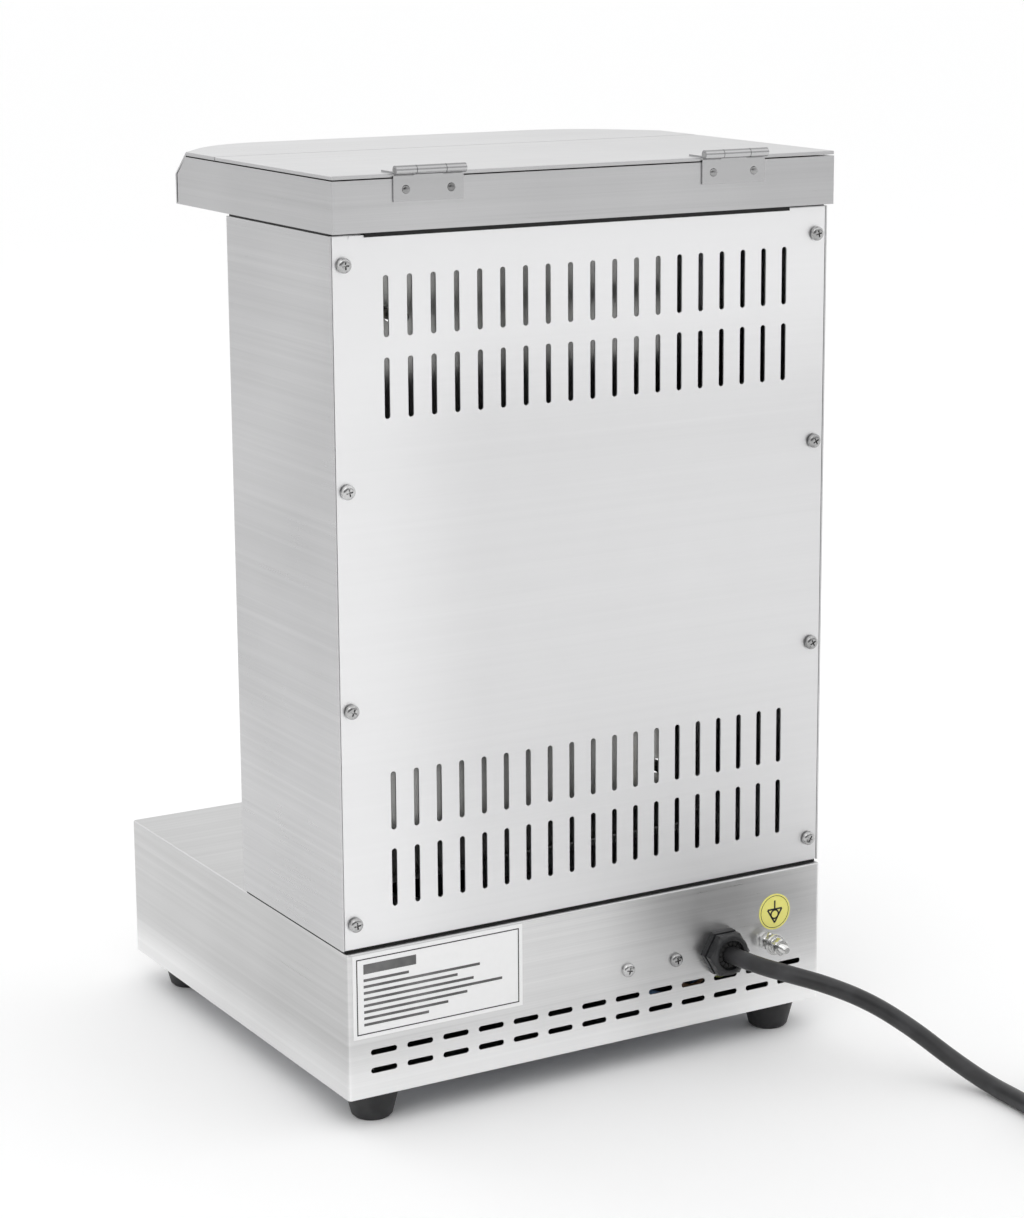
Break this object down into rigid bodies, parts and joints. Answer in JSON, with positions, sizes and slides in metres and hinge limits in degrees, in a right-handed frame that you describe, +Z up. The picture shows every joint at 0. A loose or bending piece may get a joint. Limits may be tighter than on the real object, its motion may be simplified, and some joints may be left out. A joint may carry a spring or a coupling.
{
  "type": "vertical rotisserie oven",
  "caption": "Countertop stainless vertical rotisserie oven: low base with drive, heater column behind a turning spit, hinged top lid and mains cord.",
  "frame": {"origin": "on the worktop below the middle of the machine's bounding box, cord left out", "axes": "+X to the right of a person facing the controls, +Y away from the controls towards the cable entry, +Z up"},
  "size_m": [0.4635, 0.6048, 0.5203],
  "materials": {
    "stainless_sheet": "brushed stainless sheet, about 1 mm",
    "back_sheet": "bright brushed stainless sheet",
    "zinc_plate": "zinc plated sheet",
    "foot_rubber": "black moulded rubber",
    "screw_steel": "zinc plated steel",
    "thermostat_metal": "plain metal housing",
    "shaft_steel": "turned steel",
    "knob_plastic": "black thermoset, fine grain",
    "switch_plastic": "black moulded",
    "rocker_plastic": "red moulded",
    "lamp_lens": "amber moulded lens",
    "bearing_bronze": "sintered bronze",
    "gear_case": "cast light alloy",
    "motor_paint": "dark lacquer",
    "spit_steel": "turned and polished stainless",
    "pan_steel": "pressed stainless",
    "reflector_sheet": "bright folded sheet",
    "heater_sheath": "oxidised heater sheath",
    "guard_wire": "bright welded wire",
    "hinge_steel": "satin stainless",
    "rivet_steel": "plain rivets and pins",
    "gland_nylon": "dark grey nylon",
    "zinc_hardware": "bright zinc plating",
    "earth_label": "pale yellow film label",
    "rating_label": "white film label without lettering",
    "terminal_plastic": "pale moulded plastic",
    "cord_rubber": "dark grey rubber sheath",
    "plug_rubber": "dark moulded rubber",
    "plug_brass": "plain brass"
  },
  "bodies": {
    "housing": {"base_shell": "stainless_sheet", "column_shell": "stainless_sheet", "hood_tray": "stainless_sheet", "hood_visor": "stainless_sheet", "control_panel": "stainless_sheet", "back_panel": "back_sheet", "bottom_plate": "zinc_plate", "motor_bracket": "zinc_plate", "heater_supports": "zinc_plate", "foot_front_left": "foot_rubber", "foot_rear_left": "foot_rubber", "foot_front_right": "foot_rubber", "foot_rear_right": "foot_rubber", "bottom_screws": "screw_steel", "rear_screws": "screw_steel", "frame_screws": "screw_steel", "thermostat_left": "thermostat_metal", "thermostat_right": "thermostat_metal", "switch_housing": "switch_plastic", "indicator_lamps": "lamp_lens", "hub_bush": "bearing_bronze", "spit_bearing": "bearing_bronze", "motor_gearbox": "gear_case", "motor_can": "motor_paint", "reflector_lower": "reflector_sheet", "reflector_upper": "reflector_sheet", "heater_lower": "heater_sheath", "heater_upper": "heater_sheath", "guard_lower": "guard_wire", "guard_upper": "guard_wire", "hinge_fixed_leaves": "hinge_steel", "hinge_pins": "rivet_steel", "hinge_rivets": "rivet_steel", "gland_body": "gland_nylon", "gland_nut": "gland_nylon", "gland_locknut": "gland_nylon", "earth_stud": "zinc_hardware", "earth_nuts": "zinc_hardware", "earth_label": "earth_label", "rating_label": "rating_label", "terminal_block": "terminal_plastic", "mains_cord": "cord_rubber", "cord_coil": "cord_rubber", "plug_body": "plug_rubber", "plug_pins": "plug_brass"},
    "dial_left": {"thermostat_shaft_left": "shaft_steel", "knob_left": "knob_plastic"},
    "dial_right": {"thermostat_shaft_right": "shaft_steel", "knob_right": "knob_plastic"},
    "rocker": {"switch_rocker": "rocker_plastic"},
    "drive": {"drive_shaft": "shaft_steel", "drive_hub": "spit_steel"},
    "spit": {"skewer": "spit_steel", "lower_disc": "spit_steel"},
    "press": {"upper_disc": "spit_steel"},
    "clamp": {"clamp_screw": "spit_steel"},
    "pan": {"drip_pan": "pan_steel"},
    "lid": {"lid": "stainless_sheet", "hinge_lid_leaves": "hinge_steel", "lid_rivets": "rivet_steel"}
  },
  "joints": [
    {"name": "lid_hinge", "type": "hinge", "parent": "housing", "child": "lid", "pos_m": [0, 0.1496, 0.5178], "axis": [-1, 0, 0], "range_deg": [0, 265]},
    {"name": "spit_drive", "type": "hinge", "parent": "housing", "child": "drive", "pos_m": [0, -0.055, 0.11], "axis": [0, 0, 1], "continuous": true},
    {"name": "spit_lift", "type": "slide", "parent": "drive", "child": "spit", "axis": [0, 0, 1], "range_m": [0, 0.017]},
    {"name": "press_slide", "type": "slide", "parent": "spit", "child": "press", "axis": [0, 0, -1], "range_m": [0, 0.2]},
    {"name": "clamp_turn", "type": "hinge", "parent": "press", "child": "clamp", "pos_m": [0.016, -0.055, 0.455], "axis": [1, 0, 0], "range_deg": [0, 720]},
    {"name": "pan_lift", "type": "slide", "parent": "housing", "child": "pan", "axis": [0, 0, 1], "range_m": [0, 0.012]},
    {"name": "dial_left_turn", "type": "hinge", "parent": "housing", "child": "dial_left", "pos_m": [-0.085, -0.15, 0.06], "axis": [0, 1, 0], "range_deg": [0, 300]},
    {"name": "dial_right_turn", "type": "hinge", "parent": "housing", "child": "dial_right", "pos_m": [0.085, -0.15, 0.06], "axis": [0, 1, 0], "range_deg": [0, 300]},
    {"name": "rocker_tilt", "type": "hinge", "parent": "housing", "child": "rocker", "pos_m": [0, -0.1448, 0.06], "axis": [-1, 0, 0], "range_deg": [0, 18]}
  ]
}
